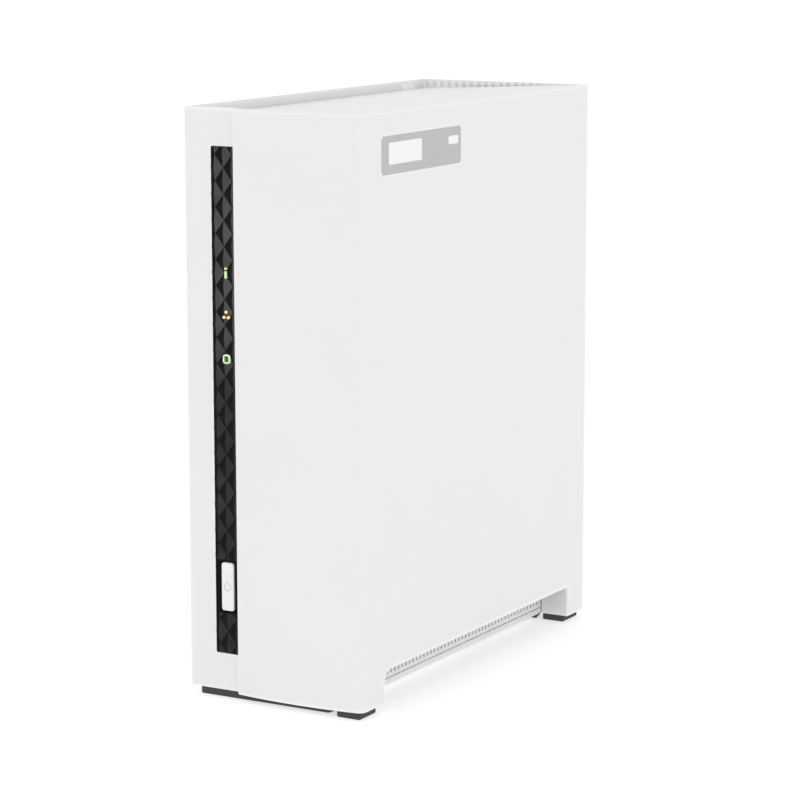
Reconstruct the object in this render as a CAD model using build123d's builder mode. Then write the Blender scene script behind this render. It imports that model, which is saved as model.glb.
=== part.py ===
from build123d import *
import os
from math import cos, radians, sin

# A desktop network storage box for one 3.5 inch disk, in millimetres.
# +X is to the right of the front, +Y is towards the rear, +Z is up.
# The origin is the middle of the footprint, on the surface that the feet stand on.

os.makedirs("parts", exist_ok=True)

# Overall size
width = 65.6
depth = 156.3
height = 188.6
foot_height = 2.5
wall = 1.8
front_wall = 2.0

# The cover takes the front, top and right side, from the seam to the right.
seam_x = -13.75
seam_gap = 0.3
front_bulge = 1.7
shell_setback = 2.05
corner_radius = 2.6
seam_radius = 1.2
edge_radius = 0.8

# The sunken top: a plane that starts below the left rim and rises to the right rim
top_dip = 3.2
rim_width = 1.5
window_places = (63.3, 67.7)
window_width = 2.6
window_span_z = (185.9, 187.9)

# Rear panel, set in from the rear edges of both halves
rear_inset = 1.15
panel_thick = 1.4

# The cut-away under the cover's right side, and the legs on either side of it
arch_front_y = -62.7
arch_rear_y = 65.7
arch_top_z = 13.0
arch_radius = 3.4
leg_inner_x = 22.7
leg_top_z = 15.0

# Base tray
tray_right_x = 22.3
tray_front_y = -72.0
tray_wall_z = 14.0
tray_wall = 1.6
vent_size = (0.9, 4.4)
vent_pitch = 2.4
vent_count = 52
vent_z = 8.2
groove_span_z = (4.3, 4.9)
groove_depth = 0.8

# Front strip with the lights and the power button
strip_left_x = -22.4
strip_bottom_z = 14.85
strip_top_z = 176.6
strip_proud = 0.3
button_x = -17.75
button_z = 36.75
button_width = 4.5
button_height = 15.65
button_gap = 0.35
light_x = -17.1
status_width = 0.7

# Fan
fan_size = 60.0
fan_thick = 15.0
fan_z = 145.0
fan_bore_radius = 28.5
fan_hub_radius = 13.0

# Main board, standing along the left wall, with its sockets towards the rear
board_thick = 1.6
board_x = -26.0
board_span_y = (-60.0, 73.5)
board_span_z = (12.0, 112.0)

# Disk drive, standing on its connector end
drive_span_x = (1.5, 27.6)
drive_span_y = (-68.0, 33.6)
drive_span_z = (24.0, 171.0)
drive_unplug = 6.0
drive_lid_thick = 1.0
drive_floor = 4.0
platter_radius = 47.5
platter_thick = 1.3
spindle_z = 118.0
arm_pivot_y = 12.0
arm_pivot_z = 50.0
arm_length = 50.0
arm_rest_angle = -8.8

# Worked out from the sizes above
left_x = -width / 2
right_x = width / 2
front_y = -depth / 2
rear_y = depth / 2
edge_y = front_y + front_bulge
base_z = foot_height
floor_z = base_z + wall
shell_front_y = edge_y + shell_setback
shell_back_y = shell_front_y + front_wall
shell_right_x = seam_x - seam_gap / 2
cover_left_x = seam_x + seam_gap / 2
inner_left_x = left_x + wall
inner_right_x = right_x - wall
panel_back_y = rear_y - rear_inset
panel_front_y = panel_back_y - panel_thick
dip_left_x = left_x + rim_width
dip_right_x = right_x - rim_width
strip_front_y = shell_front_y - strip_proud
fan_front_y = panel_front_y - fan_thick
spindle_y = sum(drive_span_y) / 2
board_back_x = board_x - board_thick


def top_z(x):
    """Height of the sunken top at x."""
    return height - top_dip * (dip_right_x - x) / (dip_right_x - dip_left_x)


def block(x_span, y_span, z_span, mode=Mode.ADD):
    """Puts a box that fills the three spans into the sub-part being built, or cuts it out."""
    spans = (x_span, y_span, z_span)
    centre = tuple((low + high) / 2 for low, high in spans)
    size = tuple(high - low for low, high in spans)
    with Locations(centre):
        Box(*size, mode=mode)


def rod(start, direction, radius, length, mode=Mode.ADD):
    """Puts a round bar that begins at start into the sub-part being built, or cuts it out."""
    with Locations(Plane(origin=start, z_dir=direction)):
        Cylinder(radius, length, align=(Align.CENTER, Align.CENTER, Align.MIN), mode=mode)


def screw(seat, direction, shank_radius, shank_length, head_radius, head_height):
    """A pan-head screw: the head stands on the seat and the shank runs on along direction."""
    outwards = tuple(-value for value in direction)
    rod(seat, direction, shank_radius, shank_length)
    rod(seat, outwards, head_radius, head_height)
    slot = head_radius * 1.2
    with Locations(Plane(origin=seat, z_dir=outwards).offset(head_height)):
        Box(slot, slot * 0.22, head_height, mode=Mode.SUBTRACT)
        Box(slot * 0.22, slot, head_height, mode=Mode.SUBTRACT)


def panel_cut(x, z, size_x, size_z):
    """An opening through the rear panel, with its middle at x and z."""
    cut_y = (panel_front_y - 1, rear_y + 1)
    block((x - size_x / 2, x + size_x / 2), cut_y, (z - size_z / 2, z + size_z / 2), Mode.SUBTRACT)


# Places shared by parts that meet
front_post_places = [(-27.0, 56.0), (-27.0, 158.0)]
panel_boss_places = [(-27.4, 179.0), (-27.4, 8.0)]
tray_boss_place = (15.0, 9.0)
boss_front_y = 66.0
boss_hole_y = 67.5
boss_radius = 2.6
boss_hole_radius = 1.5
boss_hole_length = 9.0
cover_boss_places = [(27.3, 19.5), (27.3, 180.0)]
board_post_places = [(-54.0, 20.0), (-54.0, 104.0), (52.0, 36.0), (52.0, 104.0)]
fan_hole_places = [(x, fan_z + z) for x in (-25.0, 25.0) for z in (-25.0, 25.0)]
drive_hole_places = [drive_span_z[0] + 28.5, drive_span_z[0] + 130.1]
drive_hole_x = drive_span_x[0] + 6.35
tray_post_places = [(14.0, -52.0), (14.0, -10.0)]
socket_board_z = 14.0
bracket_hole_places = [(-6.0, -64.5), (-6.0, 14.0), (-6.0, 28.0)]
status_spans = [(135.6, 137.8), (138.3, 139.0)]
dot_places = [(light_x, 125.0), (light_x - 0.8, 123.3), (light_x + 0.8, 123.3)]
dot_radius = 0.45
ring_z = 110.1
ring_size = (2.6, 2.9)
ring_line = 0.5
ring_hole = (ring_size[0] - 2 * ring_line, ring_size[1] - 2 * ring_line)
ring_depth = 1.0
status_x = (light_x - status_width / 2, light_x + status_width / 2)

# ---- Housing ----

with BuildPart() as left_shell:
    with BuildSketch(Plane.XZ.offset(-panel_front_y)):
        with BuildLine():
            Polyline(
                (left_x, base_z),
                (shell_right_x, base_z),
                (shell_right_x, floor_z),
                (inner_left_x, floor_z),
                (inner_left_x, top_z(inner_left_x) - wall),
                (shell_right_x, top_z(shell_right_x) - wall),
                (shell_right_x, top_z(shell_right_x)),
                (dip_left_x, top_z(dip_left_x)),
                (dip_left_x, height),
                (left_x, height),
                close=True,
            )
        make_face()
    extrude(amount=panel_front_y - shell_front_y)
    block((left_x, shell_right_x), (shell_front_y, shell_back_y), (base_z, height))
    block((left_x, inner_left_x), (panel_front_y, rear_y), (base_z, height))
    block((left_x, shell_right_x), (panel_front_y, rear_y), (base_z, floor_z))
    fillet(left_shell.edges().filter_by(Axis.Z).group_by(Axis.X)[0].sort_by(Axis.Y)[0], 1.0)
    fillet(left_shell.edges().filter_by(Axis.Y).group_by(Axis.X)[0], 0.6)
    # The strip's window, open to the seam
    strip_gap = 0.1
    block(
        (strip_left_x - strip_gap, shell_right_x + 1),
        (shell_front_y - 1, shell_back_y),
        (strip_bottom_z - strip_gap, strip_top_z + strip_gap),
        Mode.SUBTRACT,
    )
    # Two small windows through the rim, near the rear
    for window_y in window_places:
        window_span_y = (window_y - window_width / 2, window_y + window_width / 2)
        block((left_x - 1, dip_left_x + 1), window_span_y, window_span_z, Mode.SUBTRACT)
    # Posts for the front board, and bosses for the rear panel's screws
    for x, z in front_post_places:
        rod((x, shell_back_y - 0.5, z), (0, 1, 0), 2.4, 6.9)
        rod((x, shell_back_y + 1, z), (0, 1, 0), 1.3, 6.0, Mode.SUBTRACT)
    for x, z in panel_boss_places:
        block((inner_left_x - 0.5, x), (boss_front_y, panel_front_y), (z - 1, z + 1))
        rod((x, boss_front_y, z), (0, 1, 0), boss_radius, panel_front_y - boss_front_y)
        rod((x, boss_hole_y, z), (0, 1, 0), boss_hole_radius, boss_hole_length, Mode.SUBTRACT)
left_shell.part.label = "left_shell"
export_step(left_shell.part, "parts/left_shell.step")

with BuildPart() as base_tray:
    block((shell_right_x, tray_right_x), (tray_front_y, panel_front_y), (base_z, floor_z))
    block((tray_right_x - tray_wall, tray_right_x), (tray_front_y, panel_front_y), (base_z, tray_wall_z))
    block((shell_right_x, tray_right_x), (tray_front_y, tray_front_y + tray_wall), (base_z, tray_wall_z))
    # Air slots along the right wall, above a drip groove
    vent_y = (arch_front_y + arch_rear_y) / 2
    with BuildSketch(Plane.YZ.offset(tray_right_x)):
        with Locations((vent_y, vent_z)):
            with GridLocations(vent_pitch, 1, vent_count, 1):
                Rectangle(*vent_size)
    extrude(amount=-tray_wall, mode=Mode.SUBTRACT)
    groove_x = (tray_right_x - groove_depth, tray_right_x + 1)
    block(groove_x, (arch_front_y, arch_rear_y), groove_span_z, Mode.SUBTRACT)
    # Air slots in the floor
    with BuildSketch(Plane.XY.offset(base_z)):
        with Locations((6.0, 42.0)):
            with GridLocations(5.0, 28.0, 5, 2):
                SlotOverall(24.0, 2.4, rotation=90)
    extrude(amount=wall, mode=Mode.SUBTRACT)
    # Posts for the disk socket's board, and the boss for the rear panel's screw
    for x, y in tray_post_places:
        rod((x, y, floor_z - 0.5), (0, 0, 1), 3.0, socket_board_z - floor_z + 0.5)
        rod((x, y, floor_z + 1), (0, 0, 1), 1.3, socket_board_z - floor_z, Mode.SUBTRACT)
    boss_x, boss_z = tray_boss_place
    block((boss_x - 1, boss_x + 1), (boss_front_y, panel_front_y), (floor_z - 0.5, boss_z))
    rod((boss_x, boss_front_y, boss_z), (0, 1, 0), boss_radius, panel_front_y - boss_front_y)
    rod((boss_x, boss_hole_y, boss_z), (0, 1, 0), boss_hole_radius, boss_hole_length, Mode.SUBTRACT)
    for x, y in bracket_hole_places:
        rod((x, y, base_z - 1), (0, 0, 1), 1.3, 4.0, Mode.SUBTRACT)
base_tray.part.label = "base_tray"
export_step(base_tray.part, "parts/base_tray.step")

with BuildPart() as side_cover:
    # The bowed front, flat on the inside, with a rounded seam edge and corner, and the right wall
    with BuildSketch(Plane.XY.offset(base_z)) as cover_plan:
        middle_x = (cover_left_x + right_x) / 2
        with BuildLine():
            ThreePointArc((cover_left_x, edge_y), (middle_x, front_y), (right_x, edge_y))
            Line((right_x, edge_y), (right_x, rear_y))
            Line((right_x, rear_y), (inner_right_x, rear_y))
            Line((inner_right_x, rear_y), (inner_right_x, edge_y + front_wall))
            Line((inner_right_x, edge_y + front_wall), (cover_left_x, edge_y + front_wall))
            Line((cover_left_x, edge_y + front_wall), (cover_left_x, edge_y))
        make_face()
        front_corners = cover_plan.vertices().group_by(Axis.Y)[0]
        fillet(front_corners.sort_by(Axis.X)[0], seam_radius)
        front_corners = cover_plan.vertices().filter_by_position(Axis.X, right_x - 0.01, right_x + 0.01)
        fillet(front_corners.sort_by(Axis.Y)[0], corner_radius)
    extrude(amount=height - base_z)
    # Round the whole outer top edge before the top goes in
    top_edges = side_cover.edges().group_by(Axis.Z)[-1]
    front_edges = top_edges.filter_by(lambda edge: edge.center().Y < edge_y + 0.8)
    right_edges = top_edges.filter_by(lambda edge: edge.center().X > right_x - 0.9)
    outer_edges = front_edges + right_edges.filter_by(lambda edge: edge not in front_edges)
    fillet(outer_edges, edge_radius)
    with BuildSketch(Plane.XZ.offset(-(panel_front_y - 0.3))):
        with BuildLine():
            Polyline(
                (cover_left_x, top_z(cover_left_x)),
                (dip_right_x, height),
                (dip_right_x, top_z(dip_right_x) - wall - 0.4),
                (inner_right_x, top_z(inner_right_x) - wall),
                (cover_left_x, top_z(cover_left_x) - wall),
                close=True,
            )
        make_face()
    extrude(amount=panel_front_y - 0.3 - (edge_y + 1.0))
    # Legs, hollow from above
    for leg_span in ((edge_y + 1.2, arch_front_y), (arch_rear_y, rear_y)):
        block((leg_inner_x, right_x - 0.5), leg_span, (base_z, leg_top_z))
        pocket_y = (leg_span[0] + wall, leg_span[1] - wall)
        block((leg_inner_x + wall, inner_right_x), pocket_y, (base_z + wall, leg_top_z + 1), Mode.SUBTRACT)
    # The cut-away under the right side, with a rounded front corner
    with BuildSketch(Plane.YZ.offset(right_x + 1)) as arch_sketch:
        arch_middle = (arch_front_y + arch_rear_y) / 2
        with Locations((arch_middle, arch_top_z / 2)):
            Rectangle(arch_rear_y - arch_front_y, arch_top_z)
        fillet(arch_sketch.vertices().group_by(Axis.Y)[-1].sort_by(Axis.X)[0], arch_radius)
    extrude(amount=-(wall + 2), mode=Mode.SUBTRACT)
    # A seat for the label, as deep as the label is thick
    label_y = (-64.4, -13.6)
    label_z = (169.0, 181.0)
    label_thick = 0.2
    with BuildSketch(Plane.YZ.offset(right_x)):
        with Locations((sum(label_y) / 2, sum(label_z) / 2)):
            RectangleRounded(label_y[1] - label_y[0], label_z[1] - label_z[0], 1.5)
    extrude(amount=-label_thick, mode=Mode.SUBTRACT)
    # Bosses that the two cover screws reach into from the rear
    for x, z in cover_boss_places:
        block((x, inner_right_x + 0.5), (64.0, panel_front_y - 0.3), (z - 1, z + 1))
        rod((x, 64.0, z), (0, 1, 0), 3.0, panel_front_y - 64.3)
        rod((x, 66.0, z), (0, 1, 0), 1.7, 10.0, Mode.SUBTRACT)
side_cover.part.label = "side_cover"
export_step(side_cover.part, "parts/side_cover.step")

with BuildPart() as cover_label:
    with BuildSketch(Plane.YZ.offset(right_x - label_thick)):
        with Locations((sum(label_y) / 2, sum(label_z) / 2)):
            RectangleRounded(label_y[1] - label_y[0], label_z[1] - label_z[0], 1.5)
    extrude(amount=label_thick)
cover_label.part.label = "cover_label"
export_step(cover_label.part, "parts/cover_label.step")

# ---- Rear panel and its sockets ----

jack_x = -19.3
jack_z = 86.0
usb_x = -22.5
usb_places = [46.0, 65.0]
inlet_x = -20.5
inlet_z = 25.0
reset_x = -24.0
reset_z = 104.0

with BuildPart() as rear_panel:
    panel_right_x = inner_right_x - 0.4
    panel_edges_y = (panel_front_y, panel_back_y)
    block((inner_left_x, panel_right_x), panel_edges_y, (floor_z, height))
    leg_space_x = (leg_inner_x - 0.4, panel_right_x + 1)
    block(leg_space_x, (panel_front_y - 1, rear_y), (0, leg_top_z + 0.4), Mode.SUBTRACT)
    # The upper edge is as thick as the rim, and fluted towards the left
    block((inner_left_x, panel_right_x), (panel_front_y, rear_y), (184.0, height))
    flute_pitch = 2.95
    for index in range(16):
        flute_x = inner_left_x + 1.6 + index * flute_pitch
        rod((flute_x, panel_front_y, 186.0), (0, 0, 1), 0.75, 4.0, Mode.SUBTRACT)
    # Honeycomb grille in front of the fan
    grille_hole = 1.9
    with BuildSketch(Plane.XZ.offset(-panel_back_y)):
        with Locations((0, fan_z)):
            with HexLocations(2.35, 13, 11):
                RegularPolygon(grille_hole, 6, major_radius=False)
            Circle(26.5, mode=Mode.INTERSECT)
    extrude(amount=panel_thick, mode=Mode.SUBTRACT)
    # Sockets, reset hole and security slot
    panel_cut(jack_x, jack_z, 13.8, 16.4)
    for usb_z in usb_places:
        panel_cut(usb_x, usb_z, 7.4, 14.8)
    panel_cut(inlet_x, inlet_z, 11.4, 11.4)
    panel_cut(12.0, 60.0, 3.2, 7.4)
    rod((reset_x, panel_front_y - 1, reset_z), (0, 1, 0), 1.1, 4.0, Mode.SUBTRACT)
    # Screw holes
    for x, z in fan_hole_places + panel_boss_places + [tray_boss_place] + cover_boss_places:
        rod((x, panel_front_y - 1, z), (0, 1, 0), 1.7, 4.0, Mode.SUBTRACT)
rear_panel.part.label = "rear_panel"
export_step(rear_panel.part, "parts/rear_panel.step")

with BuildPart() as network_jack:
    block((board_x, board_x + 13.4), (56.0, rear_y - 0.15), (jack_z - 8, jack_z + 8))
    block((jack_x - 4.3, jack_x + 3.0), (63.0, rear_y + 1), (jack_z - 5.9, jack_z + 5.9), Mode.SUBTRACT)
    block((jack_x + 2.9, jack_x + 5.0), (63.0, rear_y + 1), (jack_z - 3.1, jack_z + 3.1), Mode.SUBTRACT)
network_jack.part.label = "network_jack"
export_step(network_jack.part, "parts/network_jack.step")

with BuildPart() as jack_contacts:
    for index in range(8):
        contact_z = jack_z - 3.57 + index * 1.02
        block((jack_x - 4.3, jack_x - 3.3), (63.0, 74.0), (contact_z - 0.2, contact_z + 0.2))
jack_contacts.part.label = "jack_contacts"
export_step(jack_contacts.part, "parts/jack_contacts.step")


def usb_socket(middle_z):
    """A metal USB socket that stands on the main board and opens to the rear."""
    block((board_x, usb_x + 3.5), (60.0, rear_y), (middle_z - 7.2, middle_z + 7.2))
    block((usb_x - 2.6, usb_x + 2.7), (66.0, rear_y + 1), (middle_z - 6.3, middle_z + 6.3), Mode.SUBTRACT)


with BuildPart() as usb_port_lower:
    usb_socket(usb_places[0])
usb_port_lower.part.label = "usb_port_lower"
export_step(usb_port_lower.part, "parts/usb_port_lower.step")

with BuildPart() as usb_port_upper:
    usb_socket(usb_places[1])
usb_port_upper.part.label = "usb_port_upper"
export_step(usb_port_upper.part, "parts/usb_port_upper.step")

with BuildPart() as usb_tongues:
    for usb_z in usb_places:
        block((usb_x - 1.9, usb_x - 0.1), (66.0, rear_y - 1.2), (usb_z - 5.6, usb_z + 5.6))
usb_tongues.part.label = "usb_tongues"
export_step(usb_tongues.part, "parts/usb_tongues.step")

with BuildPart() as power_inlet:
    block((board_x, inlet_x + 5.5), (63.0, rear_y - 0.1), (inlet_z - 5.5, inlet_z + 5.5))
    rod((inlet_x, 68.0, inlet_z), (0, 1, 0), 3.2, 12.0, Mode.SUBTRACT)
power_inlet.part.label = "power_inlet"
export_step(power_inlet.part, "parts/power_inlet.step")

with BuildPart() as power_pin:
    rod((inlet_x, 68.0, inlet_z), (0, 1, 0), 1.0, 8.5)
    fillet(power_pin.edges().sort_by(Axis.Y)[-1], 0.6)
power_pin.part.label = "power_pin"
export_step(power_pin.part, "parts/power_pin.step")

with BuildPart() as reset_switch:
    block((board_x, reset_x + 2.0), (67.0, 73.4), (reset_z - 3, reset_z + 3))
    rod((reset_x, 71.0, reset_z), (0, 1, 0), 0.85, 3.0, Mode.SUBTRACT)
reset_switch.part.label = "reset_switch"
export_step(reset_switch.part, "parts/reset_switch.step")

with BuildPart() as reset_plunger:
    rod((reset_x, 71.8, reset_z), (0, 1, 0), 0.8, 3.4)
reset_plunger.part.label = "reset_plunger"
export_step(reset_plunger.part, "parts/reset_plunger.step")

# ---- Front strip, lights and power button ----

with BuildPart() as front_strip:
    strip_size = (shell_right_x - strip_left_x, strip_top_z - strip_bottom_z)
    strip_middle = ((shell_right_x + strip_left_x) / 2, (strip_top_z + strip_bottom_z) / 2)
    with BuildSketch(Plane.XZ.offset(-shell_back_y)):
        with Locations(strip_middle):
            RectangleRounded(*strip_size, 0.5)
        with Locations((button_x, button_z)):
            window_size = (button_width + 2 * button_gap, button_height + 2 * button_gap)
            RectangleRounded(*window_size, 1.2, mode=Mode.SUBTRACT)
        with Locations(*dot_places):
            Circle(dot_radius, mode=Mode.SUBTRACT)
    extrude(amount=shell_back_y - strip_front_y)
    for span in status_spans:
        block(status_x, (strip_front_y - 1, shell_back_y + 1), span, Mode.SUBTRACT)
    with BuildSketch(Plane.XZ.offset(-strip_front_y)):
        with Locations((light_x, ring_z)):
            RectangleRounded(*ring_size, 0.8)
            RectangleRounded(*ring_hole, 0.3, mode=Mode.SUBTRACT)
    extrude(amount=-ring_depth, mode=Mode.SUBTRACT)
front_strip.part.label = "front_strip"
export_step(front_strip.part, "parts/front_strip.step")

with BuildPart() as light_status:
    for span in status_spans:
        block(status_x, (strip_front_y, shell_back_y), span)
light_status.part.label = "light_status"
export_step(light_status.part, "parts/light_status.step")

with BuildPart() as light_network:
    for x, z in dot_places:
        rod((x, strip_front_y, z), (0, 1, 0), dot_radius, shell_back_y - strip_front_y)
light_network.part.label = "light_network"
export_step(light_network.part, "parts/light_network.step")

with BuildPart() as light_disk:
    with BuildSketch(Plane.XZ.offset(-strip_front_y)):
        with Locations((light_x, ring_z)):
            RectangleRounded(*ring_size, 0.8)
            RectangleRounded(*ring_hole, 0.3, mode=Mode.SUBTRACT)
    extrude(amount=-ring_depth)
light_disk.part.label = "light_disk"
export_step(light_disk.part, "parts/light_disk.step")

front_board_y = -66.0
led_places = [137.2, 123.4, ring_z]

with BuildPart() as light_guide:
    block((light_x - 2.2, light_x + 1.9), (shell_back_y, front_board_y - 1.3), (106.5, 141.5))
light_guide.part.label = "light_guide"
export_step(light_guide.part, "parts/light_guide.step")

with BuildPart() as front_board:
    block((-30.0, -14.6), (front_board_y, front_board_y + board_thick), (20.0, 170.0))
    for x, z in front_post_places:
        rod((x, front_board_y - 1, z), (0, 1, 0), 1.4, 5.0, Mode.SUBTRACT)
front_board.part.label = "front_board"
export_step(front_board.part, "parts/front_board.step")

with BuildPart() as front_leds:
    led_span_y = (front_board_y - 1.0, front_board_y)
    for led_z in led_places:
        block((light_x - 0.8, light_x + 0.8), led_span_y, (led_z - 0.8, led_z + 0.8))
front_leds.part.label = "front_leds"
export_step(front_leds.part, "parts/front_leds.step")

with BuildPart() as power_switch:
    block((button_x - 3, button_x + 3), (front_board_y - 3.3, front_board_y), (button_z - 3, button_z + 3))
    rod((button_x, front_board_y - 3.3, button_z), (0, -1, 0), 1.7, 1.0)
power_switch.part.label = "power_switch"
export_step(power_switch.part, "parts/power_switch.step")

with BuildPart() as power_button:
    flange_front_y = shell_back_y + 0.3
    cap_front_y = strip_front_y - 0.4
    with BuildSketch(Plane.XZ.offset(-flange_front_y)):
        with Locations((button_x, button_z)):
            RectangleRounded(button_width, button_height, 0.9)
    extrude(amount=flange_front_y - cap_front_y)
    fillet(power_button.faces().sort_by(Axis.Y)[0].edges(), 0.3)
    flange_y = (flange_front_y, flange_front_y + 0.9)
    block((-21.1, -14.2), flange_y, (button_z - 8.6, button_z + 8.6))
    # The power mark: a broken ring with a bar, cut 0.15 deep
    with BuildSketch(Plane.XZ.offset(-cap_front_y)):
        with Locations((button_x, button_z)):
            Circle(1.35)
            Circle(1.0, mode=Mode.SUBTRACT)
            with Locations((0, 1.2)):
                Rectangle(1.0, 1.2, mode=Mode.SUBTRACT)
                Rectangle(0.35, 1.5)
    extrude(amount=-0.15, mode=Mode.SUBTRACT)
power_button.part.label = "power_button"
export_step(power_button.part, "parts/power_button.step")

# ---- Main board ----

with BuildPart() as main_board:
    block((board_back_x, board_x), board_span_y, board_span_z)
    for y, z in board_post_places:
        rod((board_back_x - 1, y, z), (1, 0, 0), 1.7, 4.0, Mode.SUBTRACT)
main_board.part.label = "main_board"
export_step(main_board.part, "parts/main_board.step")

with BuildPart() as board_standoffs:
    for y, z in board_post_places:
        rod((inner_left_x, y, z), (1, 0, 0), 2.6, board_back_x - inner_left_x)
        rod((inner_left_x + 1, y, z), (1, 0, 0), 1.4, 5.0, Mode.SUBTRACT)
board_standoffs.part.label = "board_standoffs"
export_step(board_standoffs.part, "parts/board_standoffs.step")

link_span_y = (-50.0, -12.0)
link_x = board_x + 4.0

with BuildPart() as board_link:
    block((board_x, board_x + 7), link_span_y, (socket_board_z - 1.8, socket_board_z + board_thick + 1.8))
    block((link_x, board_x + 8), link_span_y, (socket_board_z, socket_board_z + board_thick), Mode.SUBTRACT)
board_link.part.label = "board_link"
export_step(board_link.part, "parts/board_link.step")

with BuildPart() as sata_board:
    block((link_x, 22.0), link_span_y, (socket_board_z, socket_board_z + board_thick))
    block((8.0, 20.0), (-58.0, -4.0), (socket_board_z, socket_board_z + board_thick))
    for x, y in tray_post_places:
        rod((x, y, socket_board_z - 1), (0, 0, 1), 1.4, 4.0, Mode.SUBTRACT)
sata_board.part.label = "sata_board"
export_step(sata_board.part, "parts/sata_board.step")

with BuildPart() as board_screws:
    for y, z in board_post_places:
        screw((board_x, y, z), (-1, 0, 0), 1.2, 4.0, 2.7, 1.2)
    for x, z in front_post_places:
        screw((x, front_board_y + board_thick, z), (0, -1, 0), 1.1, 4.5, 2.2, 1.0)
    for x, y in tray_post_places:
        screw((x, y, socket_board_z + board_thick), (0, 0, -1), 1.1, 6.0, 2.4, 1.2)
board_screws.part.label = "board_screws"
export_step(board_screws.part, "parts/board_screws.step")

with BuildPart() as processor:
    block((board_x, board_x + 2.2), (-12.0, 7.0), (52.0, 71.0))
processor.part.label = "processor"
export_step(processor.part, "parts/processor.step")

with BuildPart() as heat_sink:
    block((board_x + 2.2, board_x + 4.7), (-18.0, 13.0), (46.0, 77.0))
    for index in range(8):
        fin_y = -18.0 + index * 4.2
        block((board_x + 4.2, board_x + 14.2), (fin_y, fin_y + 1.5), (46.0, 77.0))
heat_sink.part.label = "heat_sink"
export_step(heat_sink.part, "parts/heat_sink.step")

with BuildPart() as memory_chips:
    for y in (-44.0, -31.0):
        for z in (48.0, 66.0):
            block((board_x, board_x + 1.1), (y, y + 9.0), (z, z + 12.0))
memory_chips.part.label = "memory_chips"
export_step(memory_chips.part, "parts/memory_chips.step")

with BuildPart() as capacitors:
    for y in (22.0, 32.0, 42.0):
        for z in (22.0, 84.0):
            rod((board_x, y, z), (1, 0, 0), 4.0, 11.5)
capacitors.part.label = "capacitors"
export_step(capacitors.part, "parts/capacitors.step")

with BuildPart() as coin_cell:
    block((board_x, board_x + 1.5), (-46.0, -24.0), (84.0, 106.0))
    rod((board_x + 1.4, -35.0, 95.0), (1, 0, 0), 10.0, 3.3)
coin_cell.part.label = "coin_cell"
export_step(coin_cell.part, "parts/coin_cell.step")

with BuildPart() as sata_socket:
    board_top = socket_board_z + board_thick
    block((2.4, 10.6), (-53.0, -9.0), (board_top, 21.0))
    block((3.9, 9.3), (-51.4, -10.6), (21.0, 29.4))
    block((5.6, 7.5), (-50.4, -11.6), (24.4, 30.0), Mode.SUBTRACT)
sata_socket.part.label = "sata_socket"
export_step(sata_socket.part, "parts/sata_socket.step")

# ---- Fan ----

with BuildPart() as fan_frame:
    with BuildSketch(Plane.XZ.offset(-panel_front_y)):
        with Locations((0, fan_z)):
            RectangleRounded(fan_size, fan_size, 3.0)
            Circle(fan_bore_radius, mode=Mode.SUBTRACT)
        with Locations(*fan_hole_places):
            Circle(2.1, mode=Mode.SUBTRACT)
    extrude(amount=fan_thick)
    # Hub plate on four spokes, with the rotor's pin
    with BuildSketch(Plane.XZ.offset(-panel_front_y)):
        with Locations((0, fan_z)):
            Circle(fan_hub_radius)
            Rectangle(2 * fan_bore_radius + 1, 2.6, rotation=45)
            Rectangle(2 * fan_bore_radius + 1, 2.6, rotation=-45)
    extrude(amount=2.0)
    rod((0, panel_front_y - 1.5, fan_z), (0, -1, 0), 1.5, 9.5)
fan_frame.part.label = "fan_frame"
export_step(fan_frame.part, "parts/fan_frame.step")

with BuildPart() as fan_rotor:
    rotor_rear_y = panel_front_y - 2.5
    rotor_front_y = fan_front_y + 0.8
    rod((0, rotor_rear_y, fan_z), (0, -1, 0), fan_hub_radius, rotor_rear_y - rotor_front_y)
    rod((0, rotor_rear_y + 1, fan_z), (0, -1, 0), fan_hub_radius - 1.6, 9.5, Mode.SUBTRACT)
    rod((0, rotor_rear_y - 2, fan_z), (0, -1, 0), 3.4, 7.5)
    rod((0, rotor_rear_y + 1, fan_z), (0, -1, 0), 1.55, 10.5, Mode.SUBTRACT)
    with Locations(Plane(origin=(0, (rotor_rear_y + rotor_front_y) / 2, fan_z), z_dir=(0, -1, 0))):
        with PolarLocations(19.9, 7):
            Box(15.2, 12.0, 1.1, rotation=(38, 0, 0))
fan_rotor.part.label = "fan_rotor"
export_step(fan_rotor.part, "parts/fan_rotor.step")

with BuildPart() as fan_screws:
    for x, z in fan_hole_places:
        screw((x, panel_back_y, z), (0, -1, 0), 1.6, 9.0, 2.9, 1.0)
fan_screws.part.label = "fan_screws"
export_step(fan_screws.part, "parts/fan_screws.step")

with BuildPart() as panel_screws:
    for x, z in panel_boss_places + [tray_boss_place]:
        screw((x, panel_back_y, z), (0, -1, 0), 1.4, 8.0, 2.5, 1.0)
panel_screws.part.label = "panel_screws"
export_step(panel_screws.part, "parts/panel_screws.step")

with BuildPart() as cover_screws:
    for x, z in cover_boss_places:
        screw((x, panel_back_y, z), (0, -1, 0), 1.4, 9.5, 2.7, 1.1)
cover_screws.part.label = "cover_screws"
export_step(cover_screws.part, "parts/cover_screws.step")

# ---- Disk bracket and disk ----

drive_gap = 0.3
sheet = 1.0
bracket_span_y = (drive_span_y[0] - drive_gap - sheet, drive_span_y[1] + drive_gap + sheet)
bracket_top_z = 172.0

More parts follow.
